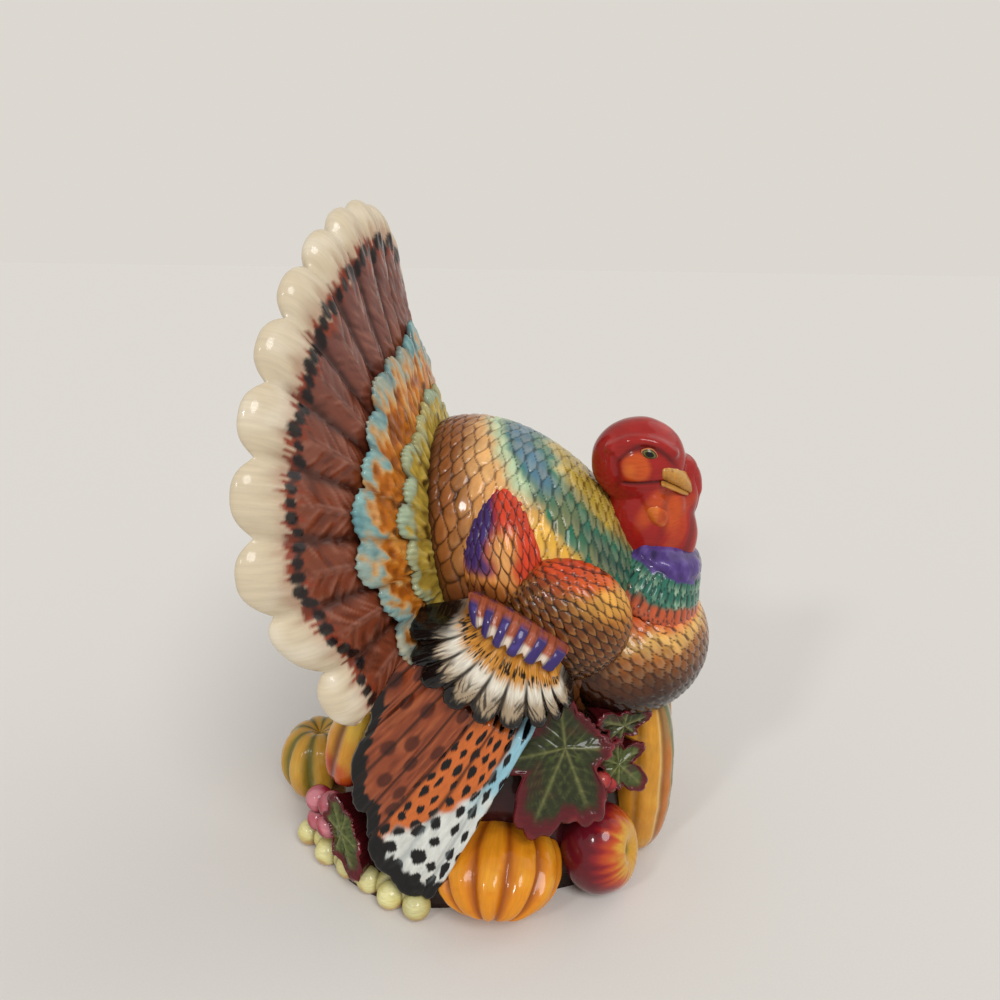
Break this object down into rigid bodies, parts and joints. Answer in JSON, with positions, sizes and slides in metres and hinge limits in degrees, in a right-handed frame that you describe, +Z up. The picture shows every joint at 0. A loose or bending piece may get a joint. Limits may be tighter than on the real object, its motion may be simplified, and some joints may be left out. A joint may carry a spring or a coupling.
{
  "type": "turkey figure",
  "caption": "Glazed ceramic tom turkey with a fanned tail, strutting over a mound of pumpkins, gourds, apples, grapes and leaves; stands on a flat foot as a table decoration.",
  "frame": {"origin": "on the table plane, at the middle of the flat foot under the bird", "axes": "+Z up, the bird faces -Y, its right side is -X"},
  "size_m": [0.2518, 0.2312, 0.3285],
  "materials": {
    "earth_glaze": "hand painted under a clear gloss glaze",
    "feather_glaze": "hand painted under a clear gloss glaze",
    "breast_glaze": "hand painted under a clear gloss glaze",
    "tail_glaze": "hand painted under a clear gloss glaze",
    "covert_glaze": "hand painted under a clear gloss glaze",
    "olive_glaze": "hand painted under a clear gloss glaze",
    "wing_glaze": "hand painted under a clear gloss glaze",
    "cream_glaze": "hand painted under a clear gloss glaze",
    "purple_glaze": "hand painted under a clear gloss glaze",
    "red_glaze": "hand painted under a clear gloss glaze",
    "horn_glaze": "hand painted under a clear gloss glaze",
    "black_glaze": "hand painted under a clear gloss glaze",
    "pumpkin_glaze": "hand painted under a clear gloss glaze",
    "apple_glaze": "hand painted under a clear gloss glaze",
    "gourd_glaze": "hand painted under a clear gloss glaze",
    "grape_glaze": "hand painted under a clear gloss glaze",
    "green_grape_glaze": "hand painted under a clear gloss glaze",
    "leaf_glaze": "hand painted under a clear gloss glaze"
  },
  "bodies": {
    "root": {"base_mound": "earth_glaze", "torso": "feather_glaze", "rump": "feather_glaze", "wing_shoulder_right": "feather_glaze", "wing_shoulder_left": "feather_glaze", "scapular_right": "feather_glaze", "scapular_left": "feather_glaze", "breast": "breast_glaze", "tail_fan": "tail_glaze", "tail_coverts_major": "covert_glaze", "tail_coverts_minor": "olive_glaze", "wing_primaries_right": "wing_glaze", "wing_primaries_left": "wing_glaze", "wing_secondaries_right": "cream_glaze", "wing_secondaries_left": "cream_glaze", "neck_collar": "purple_glaze", "wing_band_right": "purple_glaze", "wing_band_left": "purple_glaze", "head": "red_glaze", "snood": "red_glaze", "wattle_right": "red_glaze", "wattle_left": "red_glaze", "beak_upper": "horn_glaze", "beak_lower": "horn_glaze", "eye_right": "black_glaze", "eye_left": "black_glaze", "pumpkin_right": "pumpkin_glaze", "pumpkin_left": "pumpkin_glaze", "apple_right": "apple_glaze", "apple_left": "apple_glaze", "gourd_right": "gourd_glaze", "gourd_left": "gourd_glaze", "squash_rear": "gourd_glaze", "pepper_right": "gourd_glaze", "pepper_left": "gourd_glaze", "grapes_red_right": "grape_glaze", "grapes_red_left": "grape_glaze", "berries_right": "grape_glaze", "berries_left": "grape_glaze", "grapes_green_right": "green_grape_glaze", "grapes_green_left": "green_grape_glaze", "maple_leaf_right": "leaf_glaze", "maple_leaf_left": "leaf_glaze", "small_leaf_right": "leaf_glaze", "small_leaf_left": "leaf_glaze", "breast_leaf_right": "leaf_glaze", "breast_leaf_left": "leaf_glaze", "vine_leaf_right": "leaf_glaze", "vine_leaf_left": "leaf_glaze"}
  },
  "joints": []
}
